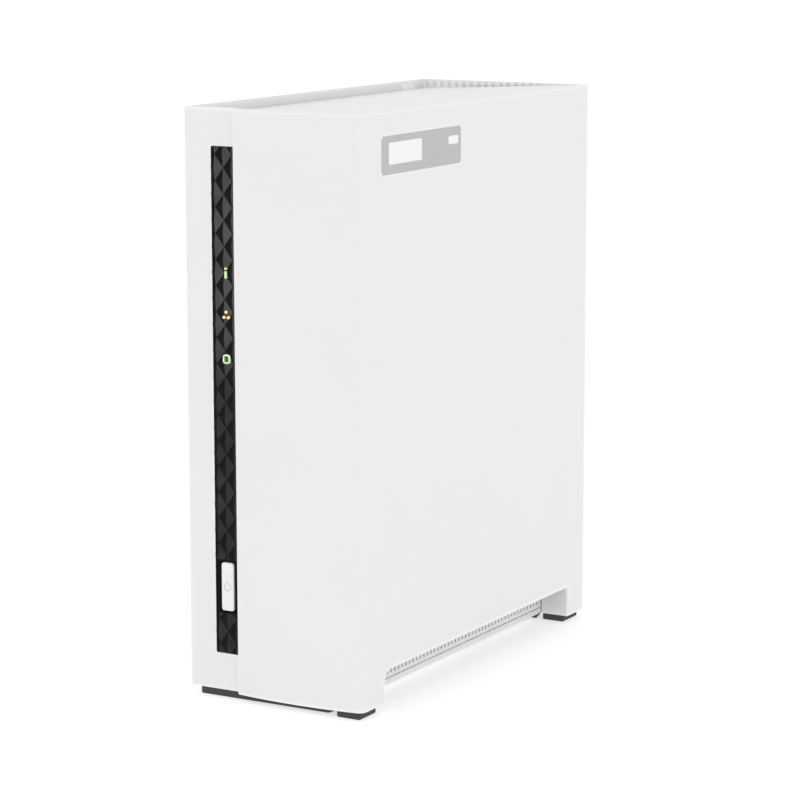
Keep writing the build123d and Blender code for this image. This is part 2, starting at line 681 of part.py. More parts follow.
with BuildPart() as drive_bracket:
    bracket_x = (-1.2, 0.0)
    block(bracket_x, bracket_span_y, (floor_z, bracket_top_z))
    block((-2, 1), (-59.5, 0.0), (0, 19.0), Mode.SUBTRACT)
    block((-2, 1), (-56.0, -20.0), (34.0, 156.0), Mode.SUBTRACT)
    block((-2, 1), (-14.0, 22.0), (34.0, 156.0), Mode.SUBTRACT)
    # Side flanges beside the disk, with slots that let its screws travel as it is unplugged
    flange_x = (bracket_x[0], 21.5)
    block(flange_x, (bracket_span_y[0], bracket_span_y[0] + sheet), (34.0, bracket_top_z))
    block(flange_x, (bracket_span_y[1] - sheet, bracket_span_y[1]), (34.0, bracket_top_z))
    for flange_y in bracket_span_y:
        for hole_z in drive_hole_places:
            slot_z = (hole_z - 2.1, hole_z + drive_unplug + 2.1)
            slot_x = (drive_hole_x - 2.1, drive_hole_x + 2.1)
            block(slot_x, (flange_y - 2, flange_y + 2), slot_z, Mode.SUBTRACT)
    # Feet, screwed to the tray
    for foot_y in ((bracket_span_y[0], -59.5), (8.0, bracket_span_y[1])):
        block((-12.0, 0.0), foot_y, (floor_z, floor_z + sheet))
    for x, y in bracket_hole_places:
        rod((x, y, floor_z - 1), (0, 0, 1), 1.5, 3.0, Mode.SUBTRACT)
drive_bracket.part.label = "drive_bracket"
export_step(drive_bracket.part, "parts/drive_bracket.step")

with BuildPart() as bracket_screws:
    for x, y in bracket_hole_places:
        screw((x, y, floor_z + sheet), (0, 0, -1), 1.2, 2.6, 2.3, 1.1)
bracket_screws.part.label = "bracket_screws"
export_step(bracket_screws.part, "parts/bracket_screws.step")

casting_x = (drive_span_x[0] + board_thick, drive_span_x[1] - drive_lid_thick)
bay_floor_x = casting_x[0] + drive_floor
lid_screw_places = [(y, z) for y in (-63.0, 28.6) for z in (32.0, 62.0, 164.0)]

with BuildPart() as drive_casting:
    block(casting_x, drive_span_y, drive_span_z)
    fillet(drive_casting.edges().filter_by(Axis.X), 3.0)
    # The platters' round bay and the arm's bay beside it
    rod((bay_floor_x, spindle_y, spindle_z), (1, 0, 0), platter_radius + 0.8, 30.0, Mode.SUBTRACT)
    block((bay_floor_x, casting_x[1] + 1), (-58.0, 24.0), (34.0, 96.0), Mode.SUBTRACT)
    rod((bay_floor_x - 1, spindle_y, spindle_z), (1, 0, 0), 2.5, 15.0)
    rod((bay_floor_x - 1, arm_pivot_y, arm_pivot_z), (1, 0, 0), 2.0, 17.0)
    # The pocket that the socket enters from below
    block((0, 10.1), (-52.6, -9.4), (drive_span_z[0] - 1, 30.0), Mode.SUBTRACT)
    # Side screw holes and lid screw holes
    for hole_z in drive_hole_places:
        for side_y, inwards in ((drive_span_y[0], 1), (drive_span_y[1], -1)):
            rod((drive_hole_x, side_y - inwards, hole_z), (0, inwards, 0), 1.6, 6.0, Mode.SUBTRACT)
    for y, z in lid_screw_places:
        rod((casting_x[1] + 1, y, z), (-1, 0, 0), 1.3, 7.0, Mode.SUBTRACT)
drive_casting.part.label = "drive_casting"
export_step(drive_casting.part, "parts/drive_casting.step")

with BuildPart() as drive_lid:
    lid_y = (drive_span_y[0] + 1, drive_span_y[1] - 1)
    lid_z = (drive_span_z[0] + 4, drive_span_z[1] - 1)
    block((casting_x[1], drive_span_x[1]), lid_y, lid_z)
    fillet(drive_lid.edges().filter_by(Axis.X), 3.0)
    # Two shallow pressed rounds and the screw holes
    rod((drive_span_x[1] - 0.3, spindle_y, spindle_z), (1, 0, 0), 24.0, 1.0, Mode.SUBTRACT)
    rod((drive_span_x[1] - 0.3, arm_pivot_y, arm_pivot_z), (1, 0, 0), 8.0, 1.0, Mode.SUBTRACT)
    for y, z in lid_screw_places:
        rod((casting_x[1] - 1, y, z), (1, 0, 0), 1.4, 4.0, Mode.SUBTRACT)
drive_lid.part.label = "drive_lid"
export_step(drive_lid.part, "parts/drive_lid.step")

with BuildPart() as drive_lid_screws:
    for y, z in lid_screw_places:
        screw((drive_span_x[1], y, z), (-1, 0, 0), 1.2, 6.0, 2.3, 0.8)
drive_lid_screws.part.label = "drive_lid_screws"
export_step(drive_lid_screws.part, "parts/drive_lid_screws.step")

with BuildPart() as drive_screws:
    for hole_z in drive_hole_places:
        screw((drive_hole_x, bracket_span_y[0], hole_z), (0, 1, 0), 1.5, 5.0, 3.2, 1.4)
        screw((drive_hole_x, bracket_span_y[1], hole_z), (0, -1, 0), 1.5, 5.0, 3.2, 1.4)
drive_screws.part.label = "drive_screws"
export_step(drive_screws.part, "parts/drive_screws.step")

with BuildPart() as drive_board:
    block((drive_span_x[0], casting_x[0]), (-60.0, 26.0), (31.0, 92.0))
drive_board.part.label = "drive_board"
export_step(drive_board.part, "parts/drive_board.step")

with BuildPart() as drive_plug:
    block((6.0, 7.1), (-50.0, -12.0), (25.0, 30.0))
drive_plug.part.label = "drive_plug"
export_step(drive_plug.part, "parts/drive_plug.step")

platter_places = [13.2, 18.7]
hub_radius = 12.5

with BuildPart() as drive_platters:
    for platter_x in platter_places:
        rod((platter_x, spindle_y, spindle_z), (1, 0, 0), platter_radius, platter_thick)
        rod((platter_x - 1, spindle_y, spindle_z), (1, 0, 0), hub_radius, 4.0, Mode.SUBTRACT)
drive_platters.part.label = "drive_platters"
export_step(drive_platters.part, "parts/drive_platters.step")

with BuildPart() as spindle_hub:
    clamp_x = platter_places[1] + platter_thick
    rod((bay_floor_x + 0.6, spindle_y, spindle_z), (1, 0, 0), hub_radius, clamp_x - bay_floor_x - 0.6)
    rod((clamp_x, spindle_y, spindle_z), (1, 0, 0), 16.0, 1.0)
    rod((bay_floor_x, spindle_y, spindle_z), (1, 0, 0), 2.55, 20.0, Mode.SUBTRACT)
    with Locations(Plane(origin=(clamp_x + 1, spindle_y, spindle_z), z_dir=(1, 0, 0))):
        with PolarLocations(8.5, 6):
            Cylinder(1.2, 1.2, mode=Mode.SUBTRACT)
spindle_hub.part.label = "spindle_hub"
export_step(spindle_hub.part, "parts/spindle_hub.step")

arm_plate_places = [11.0, 16.0, 20.9]
arm_along = (sin(radians(-arm_rest_angle)), cos(radians(-arm_rest_angle)))
arm_across = (arm_along[1], -arm_along[0])


def arm_point(along, across):
    """A point in Y and Z, measured from the arm's pivot along and across the arm."""
    y = arm_pivot_y + along * arm_along[0] + across * arm_across[0]
    z = arm_pivot_z + along * arm_along[1] + across * arm_across[1]
    return (y, z)


with BuildPart() as head_arm:
    rod((8.2, arm_pivot_y, arm_pivot_z), (1, 0, 0), 6.0, 15.2)
    for plate_x in arm_plate_places:
        with BuildSketch(Plane.YZ.offset(plate_x)):
            with BuildLine():
                Polyline(
                    arm_point(0, -4.5),
                    arm_point(arm_length, -1.2),
                    arm_point(arm_length, 1.2),
                    arm_point(0, 4.5),
                    close=True,
                )
            make_face()
        extrude(amount=1.2)
    with BuildSketch(Plane.YZ.offset(12.0)):
        with BuildLine():
            Polyline(
                arm_point(0, -4),
                arm_point(-13.5, -4.5),
                arm_point(-13.5, 4.5),
                arm_point(0, 4),
                close=True,
            )
        make_face()
    extrude(amount=5.6)
    rod((8.0, arm_pivot_y, arm_pivot_z), (1, 0, 0), 2.05, 16.0, Mode.SUBTRACT)
head_arm.part.label = "head_arm"
export_step(head_arm.part, "parts/head_arm.step")

with BuildPart() as magnet_yoke:
    block((bay_floor_x, 10.0), (-4.0, 23.5), (34.5, 43.2))
    block((20.0, 23.0), (-4.0, 23.5), (34.5, 43.2))
    block((bay_floor_x, 23.0), (-4.0, -2.0), (34.5, 43.2))
magnet_yoke.part.label = "magnet_yoke"
export_step(magnet_yoke.part, "parts/magnet_yoke.step")

# ---- Feet ----

foot_radius = 0.6


def foot(outline):
    """A rubber foot from the surface up to the housing, with a rounded lower edge."""
    with BuildSketch() as foot_plan:
        with BuildLine():
            Polyline(*outline, close=True)
        make_face()
    extrude(foot_plan.sketch, amount=foot_height)


with BuildPart() as front_foot_bar:
    foot([(-29.0, -73.6), (18.6, -73.6), (20.4, -66.4), (-29.0, -66.4)])
    fillet(front_foot_bar.faces().sort_by(Axis.Z)[0].edges(), foot_radius)
front_foot_bar.part.label = "front_foot_bar"
export_step(front_foot_bar.part, "parts/front_foot_bar.step")

with BuildPart() as rear_foot_bar:
    foot([(-29.0, 66.4), (20.4, 66.4), (18.6, 73.6), (-29.0, 73.6)])
    fillet(rear_foot_bar.faces().sort_by(Axis.Z)[0].edges(), foot_radius)
rear_foot_bar.part.label = "rear_foot_bar"
export_step(rear_foot_bar.part, "parts/rear_foot_bar.step")

with BuildPart() as cover_foot_front:
    foot([(23.1, -75.9), (31.4, -75.9), (31.4, -66.2), (23.1, -66.2)])
    fillet(cover_foot_front.faces().sort_by(Axis.Z)[0].edges(), foot_radius)
cover_foot_front.part.label = "cover_foot_front"
export_step(cover_foot_front.part, "parts/cover_foot_front.step")

with BuildPart() as cover_foot_rear:
    foot([(22.9, 66.4), (30.9, 66.4), (30.9, 77.0), (22.9, 77.0)])
    fillet(cover_foot_rear.faces().sort_by(Axis.Z)[0].edges(), foot_radius)
cover_foot_rear.part.label = "cover_foot_rear"
export_step(cover_foot_rear.part, "parts/cover_foot_rear.step")
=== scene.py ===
import bmesh
import bpy
import math
from mathutils import Matrix, Vector


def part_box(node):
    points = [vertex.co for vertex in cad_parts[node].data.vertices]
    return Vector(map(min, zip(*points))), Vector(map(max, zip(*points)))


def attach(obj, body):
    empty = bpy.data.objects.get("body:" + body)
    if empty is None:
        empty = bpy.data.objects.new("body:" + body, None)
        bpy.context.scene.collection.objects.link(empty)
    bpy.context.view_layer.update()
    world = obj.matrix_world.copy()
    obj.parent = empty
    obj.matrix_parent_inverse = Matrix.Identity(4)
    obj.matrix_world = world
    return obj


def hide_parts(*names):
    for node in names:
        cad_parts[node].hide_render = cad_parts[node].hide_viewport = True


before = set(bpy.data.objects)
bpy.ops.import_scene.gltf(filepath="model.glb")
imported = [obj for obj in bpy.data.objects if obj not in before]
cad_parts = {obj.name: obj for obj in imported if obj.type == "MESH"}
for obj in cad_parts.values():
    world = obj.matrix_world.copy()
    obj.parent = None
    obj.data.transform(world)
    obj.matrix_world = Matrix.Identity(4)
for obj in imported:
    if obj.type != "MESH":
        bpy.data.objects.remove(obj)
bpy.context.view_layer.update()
mm = 0.001
scene = bpy.context.scene
print("frame loaded:", len(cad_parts), "nodes")


# Nodes shared by the finishes

def newSurface(name):
    # an empty Principled material, and the Object coordinates that its patterns read
    material = bpy.data.materials.new(name)
    material.use_nodes = True
    tree = material.node_tree
    tree.nodes.clear()
    output = tree.nodes.new("ShaderNodeOutputMaterial")
    shader = tree.nodes.new("ShaderNodeBsdfPrincipled")
    place = tree.nodes.new("ShaderNodeTexCoord")
    tree.links.new(shader.outputs["BSDF"], output.inputs["Surface"])
    return material, tree, shader, place.outputs["Object"]


def stretched(tree, place, scale, shift=(0, 0, 0)):
    # the same coordinates, scaled along each axis, after a shift in metres
    mapping = tree.nodes.new("ShaderNodeMapping")
    mapping.vector_type = "POINT"
    mapping.inputs["Scale"].default_value = scale
    mapping.inputs["Location"].default_value = shift
    tree.links.new(place, mapping.inputs["Vector"])
    return mapping.outputs["Vector"]


def noise(tree, place, scale, detail=3.0, roughness=0.5):
    node = tree.nodes.new("ShaderNodeTexNoise")
    node.inputs["Scale"].default_value = scale
    node.inputs["Detail"].default_value = detail
    node.inputs["Roughness"].default_value = roughness
    tree.links.new(place, node.inputs["Vector"])
    return node.outputs["Fac"]


def tones(tree, factor, low, high, start=0.35, end=0.65):
    # a colour that runs from low to high as the factor goes from start to end
    ramp = tree.nodes.new("ShaderNodeValToRGB")
    ramp.color_ramp.elements[0].position = start
    ramp.color_ramp.elements[0].color = (*low, 1)
    ramp.color_ramp.elements[1].position = end
    ramp.color_ramp.elements[1].color = (*high, 1)
    tree.links.new(factor, ramp.inputs["Fac"])
    return ramp.outputs["Color"]


def between(tree, factor, low, high, start=0.3, end=0.7):
    node = tree.nodes.new("ShaderNodeMapRange")
    node.inputs["From Min"].default_value = start
    node.inputs["From Max"].default_value = end
    node.inputs["To Min"].default_value = low
    node.inputs["To Max"].default_value = high
    tree.links.new(factor, node.inputs["Value"])
    return node.outputs["Result"]


def mixed(tree, factor, first, second):
    node = tree.nodes.new("ShaderNodeMix")
    node.data_type = "RGBA"
    tree.links.new(factor, node.inputs["Factor"])
    tree.links.new(first, node.inputs["A"])
    tree.links.new(second, node.inputs["B"])
    return node.outputs["Result"]


def edgeHighlightMask(tree, reach):
    # a factor that rises to 1 along outward edges, within a reach in metres; it places the painted highlight
    # there
    node = tree.nodes.new("ShaderNodeAmbientOcclusion")
    node.inside = True
    node.only_local = True
    node.samples = 8
    node.inputs["Distance"].default_value = reach
    return between(tree, node.outputs["AO"], 1.0, 0.0, 0.80, 0.98)


def creaseShadeMask(tree, reach):
    # a factor that rises to 1 in creases and seams, where it places the painted shade
    node = tree.nodes.new("ShaderNodeAmbientOcclusion")
    node.samples = 8
    node.inputs["Distance"].default_value = reach
    return between(tree, node.outputs["AO"], 1.0, 0.0, 0.45, 1.0)


def bumped(tree, shader, height, strength, distance):
    node = tree.nodes.new("ShaderNodeBump")
    node.inputs["Strength"].default_value = strength
    node.inputs["Distance"].default_value = distance
    tree.links.new(height, node.inputs["Height"])
    tree.links.new(node.outputs["Normal"], shader.inputs["Normal"])


# Finishes

def housingPlastic():
    look = dict(pale=(0.793, 0.793, 0.791), deep=(0.786, 0.786, 0.784), patch=30, grain=2400,
                shine=(0.34, 0.46), gloss=0.42, relief=0.12, reliefDepth=0.04 * mm,
                edge=(0.90, 0.90, 0.898), edgeHighlightReach=1.2 * mm,
                creaseShade=(0.69, 0.69, 0.688), creaseShadeReach=2.0 * mm)
    material, tree, shader, place = newSurface("housingPlastic")
    patches = noise(tree, place, look["patch"], 2)
    grain = noise(tree, place, look["grain"], 4, 0.6)
    plain = tones(tree, patches, look["deep"], look["pale"])
    # painted shade: a darker colour for creases and seams, where shade falls
    creaseShadeTone = tones(tree, grain, look["creaseShade"], look["pale"], 0.3, 1.0)
    # painted highlight: a lighter colour for outward edges, as if their rounding caught the light
    edges = tones(tree, grain, look["edge"], look["pale"], 0.3, 1.0)
    shaded = mixed(tree, creaseShadeMask(tree, look["creaseShadeReach"]), plain, creaseShadeTone)
    colour = mixed(tree, edgeHighlightMask(tree, look["edgeHighlightReach"]), shaded, edges)
    tree.links.new(colour, shader.inputs["Base Color"])
    tree.links.new(between(tree, grain, *look["shine"]), shader.inputs["Roughness"])
    shader.inputs["Specular IOR Level"].default_value = look["gloss"]
    bumped(tree, shader, grain, look["relief"], look["reliefDepth"])
    return material


def glossBlack(name, low, high, shine, fadedReflectionLow=None, fadedReflectionHigh=None):
    # the two foot colours, where they are given, are those that it fades to lower down: a painted reflection
    # that dims towards the bottom
    look = dict(reflectionFade=(96 * mm, 122 * mm), haze=90, specks=3500, gloss=0.07)
    material, tree, shader, place = newSurface(name)
    haze = noise(tree, place, look["haze"], 3)
    specks = noise(tree, place, look["specks"], 3)
    colour = tones(tree, haze, low, high)
    if fadedReflectionLow:
        split = tree.nodes.new("ShaderNodeSeparateXYZ")
        tree.links.new(place, split.inputs["Vector"])
        height = between(tree, split.outputs["Z"], 0.0, 1.0, *look["reflectionFade"])
        colour = mixed(tree, height, tones(tree, haze, fadedReflectionLow, fadedReflectionHigh), colour)
    tree.links.new(colour, shader.inputs["Base Color"])
    tree.links.new(between(tree, specks, *shine), shader.inputs["Roughness"])
    shader.inputs["Specular IOR Level"].default_value = look["gloss"]
    bumped(tree, shader, specks, 0.05, 0.00002)
    return material


def buttonPlastic():
    look = dict(low=(0.80, 0.80, 0.80), high=(0.84, 0.84, 0.84), patch=240, grain=3200, shine=(0.28, 0.36))
    material, tree, shader, place = newSurface("buttonPlastic")
    grain = noise(tree, place, look["grain"], 3)
    colour = tones(tree, noise(tree, place, look["patch"], 2), look["low"], look["high"])
    tree.links.new(colour, shader.inputs["Base Color"])
    tree.links.new(between(tree, grain, *look["shine"]), shader.inputs["Roughness"])
    bumped(tree, shader, grain, 0.06, 0.00002)
    return material


def litLens(name, core, edge, glow, strength):
    # a frosted window lit from behind, a little uneven over its face
    material, tree, shader, place = newSurface(name)
    frost = noise(tree, place, 1800, 3)
    tree.links.new(tones(tree, frost, edge, core), shader.inputs["Base Color"])
    tree.links.new(between(tree, frost, 0.3, 0.5), shader.inputs["Roughness"])
    shader.inputs["Emission Color"].default_value = (*glow, 1)
    shader.inputs["Emission Strength"].default_value = strength
    return material


def labelFilm(name, low, high, shine):
    # printed film with a very fine brushed lay
    material, tree, shader, place = newSurface(name)
    lay = noise(tree, stretched(tree, place, (1, 90, 2400)), 1.0, 3)
    tree.links.new(tones(tree, lay, low, high), shader.inputs["Base Color"])
    tree.links.new(between(tree, lay, *shine), shader.inputs["Roughness"])
    bumped(tree, shader, lay, 0.05, 0.00001)
    return material


def footRubber():
    look = dict(dark=(0.030, 0.030, 0.032), dust=(0.062, 0.062, 0.064), grain=1500)
    material, tree, shader, place = newSurface("footRubber")
    grain = noise(tree, place, look["grain"], 5, 0.65)
    tree.links.new(tones(tree, grain, look["dark"], look["dust"], 0.3, 0.75), shader.inputs["Base Color"])
    tree.links.new(between(tree, grain, 0.62, 0.85), shader.inputs["Roughness"])
    bumped(tree, shader, grain, 0.35, 0.00008)
    return material


def metal(name, low, high, shine, lay, relief=0.08):
    # rolled or turned metal: the lay stretches the grain along one axis
    material, tree, shader, place = newSurface(name)
    grain = noise(tree, stretched(tree, place, lay), 1.0, 4, 0.6)
    tree.links.new(tones(tree, grain, low, high), shader.inputs["Base Color"])
    tree.links.new(between(tree, grain, *shine), shader.inputs["Roughness"])
    shader.inputs["Metallic"].default_value = 1.0
    bumped(tree, shader, grain, relief, 0.00003)
    return material


def platterMetal():
    # polished, with faint rings round the spindle
    look = dict(low=(0.80, 0.80, 0.81), high=(0.88, 0.88, 0.89), ringRate=5200, shine=(0.04, 0.10))
    material, tree, shader, place = newSurface("platterMetal")
    low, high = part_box("drive_platters")
    middle = (low + high) / 2
    centred = stretched(tree, place, (0, 1, 1), (0, -middle.y, -middle.z))
    length = tree.nodes.new("ShaderNodeVectorMath")
    length.operation = "LENGTH"
    tree.links.new(centred, length.inputs[0])
    wave = tree.nodes.new("ShaderNodeMath")
    wave.operation = "SINE"
    turns = tree.nodes.new("ShaderNodeMath")
    turns.operation = "MULTIPLY"
    turns.inputs[1].default_value = look["ringRate"]
    tree.links.new(length.outputs["Value"], turns.inputs[0])
    tree.links.new(turns.outputs["Value"], wave.inputs[0])
    rings = wave.outputs["Value"]
    tree.links.new(tones(tree, rings, look["low"], look["high"], 0.0, 1.0), shader.inputs["Base Color"])
    tree.links.new(between(tree, rings, *look["shine"], -1, 1), shader.inputs["Roughness"])
    shader.inputs["Metallic"].default_value = 1.0
    return material


def circuitBoard():
    # solder mask with square-cornered tracks and tinned pads
    look = dict(mask=(0.010, 0.085, 0.040), track=(0.020, 0.150, 0.070), cell=210,
                pad=(0.62, 0.60, 0.50), brightPad=(0.72, 0.70, 0.62), pads=330)
    material, tree, shader, place = newSurface("circuitBoard")
    cells = tree.nodes.new("ShaderNodeTexVoronoi")
    cells.distance = "CHEBYCHEV"
    cells.feature = "F1"
    cells.inputs["Scale"].default_value = look["cell"]
    tree.links.new(place, cells.inputs["Vector"])
    spots = tree.nodes.new("ShaderNodeTexVoronoi")
    spots.inputs["Scale"].default_value = look["pads"]
    spots.inputs["Randomness"].default_value = 0.75
    tree.links.new(place, spots.inputs["Vector"])
    lines = tones(tree, cells.outputs["Distance"], look["mask"], look["track"], 0.40, 0.42)
    isPad = between(tree, spots.outputs["Distance"], 1.0, 0.0, 0.16, 0.19)
    pads = tones(tree, noise(tree, place, 60), look["pad"], look["brightPad"])
    tree.links.new(mixed(tree, isPad, lines, pads), shader.inputs["Base Color"])
    tree.links.new(between(tree, isPad, 0.42, 0.25, 0, 1), shader.inputs["Roughness"])
    bumped(tree, shader, cells.outputs["Distance"], 0.15, 0.00003)
    return material


def mouldedBlack(name, low, high, shine, grainScale):
    material, tree, shader, place = newSurface(name)
    grain = noise(tree, place, grainScale, 4, 0.6)
    tree.links.new(tones(tree, grain, low, high), shader.inputs["Base Color"])
    tree.links.new(between(tree, grain, *shine), shader.inputs["Roughness"])
    bumped(tree, shader, grain, 0.2, 0.00005)
    return material


def clearPlastic():
    look = dict(low=(0.82, 0.86, 0.86), high=(0.90, 0.93, 0.93), shine=(0.12, 0.3), clear=0.6)
    material, tree, shader, place = newSurface("clearPlastic")
    frost = noise(tree, place, 900, 3)
    tree.links.new(tones(tree, frost, look["low"], look["high"]), shader.inputs["Base Color"])
    tree.links.new(between(tree, frost, *look["shine"]), shader.inputs["Roughness"])
    shader.inputs["Transmission Weight"].default_value = look["clear"]
    return material


finishes = {
    "white": housingPlastic(),
    "stripPlate": glossBlack("stripPlate", (0.002, 0.002, 0.002), (0.004, 0.004, 0.004), (0.26, 0.34)),
    # painted reflection and shade: the lighter facet colour stands for a bright light reflected in the faces
    # that lean right, the near-black one for the faces that lean left
    "facetPaintedShade": glossBlack("facetPaintedShade", (0.003, 0.003, 0.003), (0.006, 0.006, 0.006), (0.30, 0.38)),
    "facetPaintedReflection": glossBlack("facetPaintedReflection", (0.060, 0.060, 0.061), (0.086, 0.086, 0.087), (0.30, 0.38),
                             (0.023, 0.023, 0.024), (0.034, 0.034, 0.035)),
    "button": buttonPlastic(),
    "green": litLens("greenLens", (0.50, 0.66, 0.40), (0.34, 0.54, 0.24), (0.52, 0.68, 0.40), 0.50),
    "greenShade": litLens("greenShade", (0.035, 0.09, 0.02), (0.02, 0.06, 0.012), (0.05, 0.12, 0.03), 0.30),
    "amber": litLens("amberLens", (0.84, 0.68, 0.38), (0.74, 0.52, 0.22), (0.84, 0.60, 0.26), 0.55),
    "clear": clearPlastic(),
    "labelGrey": labelFilm("labelGrey", (0.43, 0.44, 0.455), (0.47, 0.48, 0.495), (0.30, 0.42)),
    "labelWhite": labelFilm("labelWhite", (0.84, 0.84, 0.84), (0.88, 0.88, 0.88), (0.34, 0.46)),
    "rubber": footRubber(),
    "zinc": metal("zincPlate", (0.56, 0.57, 0.59), (0.66, 0.67, 0.68), (0.22, 0.38), (400, 400, 60)),
    "screwSteel": metal("screwSteel", (0.50, 0.51, 0.52), (0.68, 0.68, 0.69), (0.20, 0.34), (900, 900, 900)),
    "aluminium": metal("aluminiumSheet", (0.62, 0.63, 0.64), (0.74, 0.75, 0.76), (0.26, 0.42),
                       (200, 40, 1600)),
    "castAluminium": metal("castAluminium", (0.30, 0.31, 0.32), (0.46, 0.47, 0.48), (0.45, 0.65),
                           (700, 700, 700), 0.35),
    "platter": platterMetal(),
    "board": circuitBoard(),
    "chip": mouldedBlack("chipPlastic", (0.012, 0.012, 0.013), (0.026, 0.026, 0.027), (0.40, 0.60), 1700),
    "fan": mouldedBlack("fanPlastic", (0.010, 0.010, 0.011), (0.020, 0.020, 0.021), (0.34, 0.50), 1300),
    "brass": metal("brass", (0.62, 0.44, 0.18), (0.78, 0.60, 0.30), (0.18, 0.32), (600, 600, 600)),
    "mark": mouldedBlack("markGrey", (0.53, 0.53, 0.54), (0.60, 0.60, 0.61), (0.40, 0.55), 2600),
}
print("finishes made:", len(finishes))

nodeFinish = {
    "white": ["left_shell", "base_tray", "side_cover", "rear_panel"],
    "stripPlate": ["front_strip"],
    "button": ["power_button"],
    "green": ["light_status", "light_disk"],
    "amber": ["light_network"],
    "clear": ["light_guide", "front_leds"],
    "labelGrey": ["cover_label"],
    "rubber": ["front_foot_bar", "rear_foot_bar", "cover_foot_front", "cover_foot_rear"],
    "zinc": ["drive_bracket", "usb_port_upper", "usb_port_lower", "coin_cell", "magnet_yoke"],
    "screwSteel": ["board_screws", "bracket_screws", "fan_screws", "panel_screws", "cover_screws",
                   "drive_screws", "drive_lid_screws"],
    "aluminium": ["heat_sink", "capacitors", "drive_lid", "spindle_hub", "head_arm"],
    "castAluminium": ["drive_casting"],
    "platter": ["drive_platters"],
    "board": ["main_board", "front_board", "sata_board", "drive_board"],
    "chip": ["processor", "memory_chips", "board_link", "network_jack", "usb_tongues", "power_inlet",
             "power_switch", "reset_switch", "reset_plunger", "sata_socket", "drive_plug"],
    "fan": ["fan_frame", "fan_rotor"],
    "brass": ["board_standoffs", "jack_contacts", "power_pin"],
}
for finish, names in nodeFinish.items():
    for name in names:
        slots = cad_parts[name].data.materials
        slots.clear()
        slots.append(finishes[finish])
print("node finishes set:", sum(len(names) for names in nodeFinish.values()))


# Tools for new pieces

def newPiece(name, mesh, body):
    piece = bpy.data.objects.new(name, mesh)
    scene.collection.objects.link(piece)
    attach(piece, body)
    return piece


def newTree(name, sizes):
    # a Geometry Nodes tree with one named input for each size
    tree = bpy.data.node_groups.new(name, "GeometryNodeTree")
    tree.interface.new_socket("Geometry", in_out="INPUT", socket_type="NodeSocketGeometry")
    kinds = {int: "NodeSocketInt", float: "NodeSocketFloat"}
    for label, value in sizes.items():
        socket = tree.interface.new_socket(label, in_out="INPUT", socket_type=kinds[type(value)])
        socket.default_value = value
    tree.interface.new_socket("Geometry", in_out="OUTPUT", socket_type="NodeSocketGeometry")
    return tree, tree.nodes.new("NodeGroupInput"), tree.nodes.new("NodeGroupOutput")


def treeMath(tree, operation, first, second=None):
    node = tree.nodes.new("ShaderNodeMath")
    node.operation = operation
    for socket, value in zip(node.inputs, (first, second)):
        if value is None:
            continue
        if isinstance(value, (int, float)):
            socket.default_value = value
        else:
            tree.links.new(value, socket)
    return node.outputs["Value"]


def grown(name, tree, sizes, mesh=None):
    # runs a tree on a mesh and returns the result as a plain mesh
    holder = bpy.data.objects.new(name + "Seed", mesh or bpy.data.meshes.new(name + "Seed"))
    scene.collection.objects.link(holder)
    modifier = holder.modifiers.new("grow", "NODES")
    modifier.node_group = tree
    for socket in tree.interface.items_tree:
        if socket.in_out == "INPUT" and socket.name in sizes:
            modifier[socket.identifier] = sizes[socket.name]
    evaluated = holder.evaluated_get(bpy.context.evaluated_depsgraph_get())
    result = bpy.data.meshes.new_from_object(evaluated)
    holder.modifiers.clear()
    bpy.data.objects.remove(holder)
    result.name = name
    return result


def prism(bm, outline, near, far):
    # a closed prism along Y, from the points of its outline in X and Z
    front = [bm.verts.new((x, near, z)) for x, z in outline]
    back = [bm.verts.new((x, far, z)) for x, z in outline]
    count = len(outline)
    bm.faces.new(front)
    bm.faces.new(list(reversed(back)))
    for i in range(count):
        j = (i + 1) % count
        bm.faces.new((front[j], front[i], back[i], back[j]))


def ontoRightSide(bm, x):
    # turns what was drawn in X and Z, facing forward, to lie at the height x on a face that looks right
    turn = Matrix(((0, -1, 0, x), (1, 0, 0, 0), (0, 0, 1, 0), (0, 0, 0, 1)))
    bmesh.ops.transform(bm, matrix=turn, verts=bm.verts)


def roundedBox(x, z, width, height, radius, steps=4):
    # outline of a rounded rectangle, anticlockwise in X and Z
    points = []
    for cornerX, cornerZ, start in ((1, 1, 0), (-1, 1, 90), (-1, -1, 180), (1, -1, 270)):
        for step in range(steps + 1):
            angle = math.radians(start + 90 * step / steps)
            point = (x + cornerX * (width / 2 - radius) + radius * math.cos(angle),
                     z + cornerZ * (height / 2 - radius) + radius * math.sin(angle))
            # a full round has no straight between its corners, so their ends meet
            if not points or min(math.dist(point, points[-1]), math.dist(point, points[0])) > 1e-7:
                points.append(point)
    return points


def meshFrom(name, bm, material):
    bmesh.ops.recalc_face_normals(bm, faces=bm.faces)
    mesh = bpy.data.meshes.new(name)
    bm.to_mesh(mesh)
    bm.free()
    mesh.materials.append(material)
    return mesh


# Faceted face of the black strip

facets = dict(period=8.22 * mm, column=3.15 * mm, peak=0.55 * mm, edge=0.15 * mm, firstZ=178.3 * mm,
              rows=21, columns=3, rightInset=0.9 * mm, buttonGap=0.9 * mm, buttonFlange=0.8 * mm)


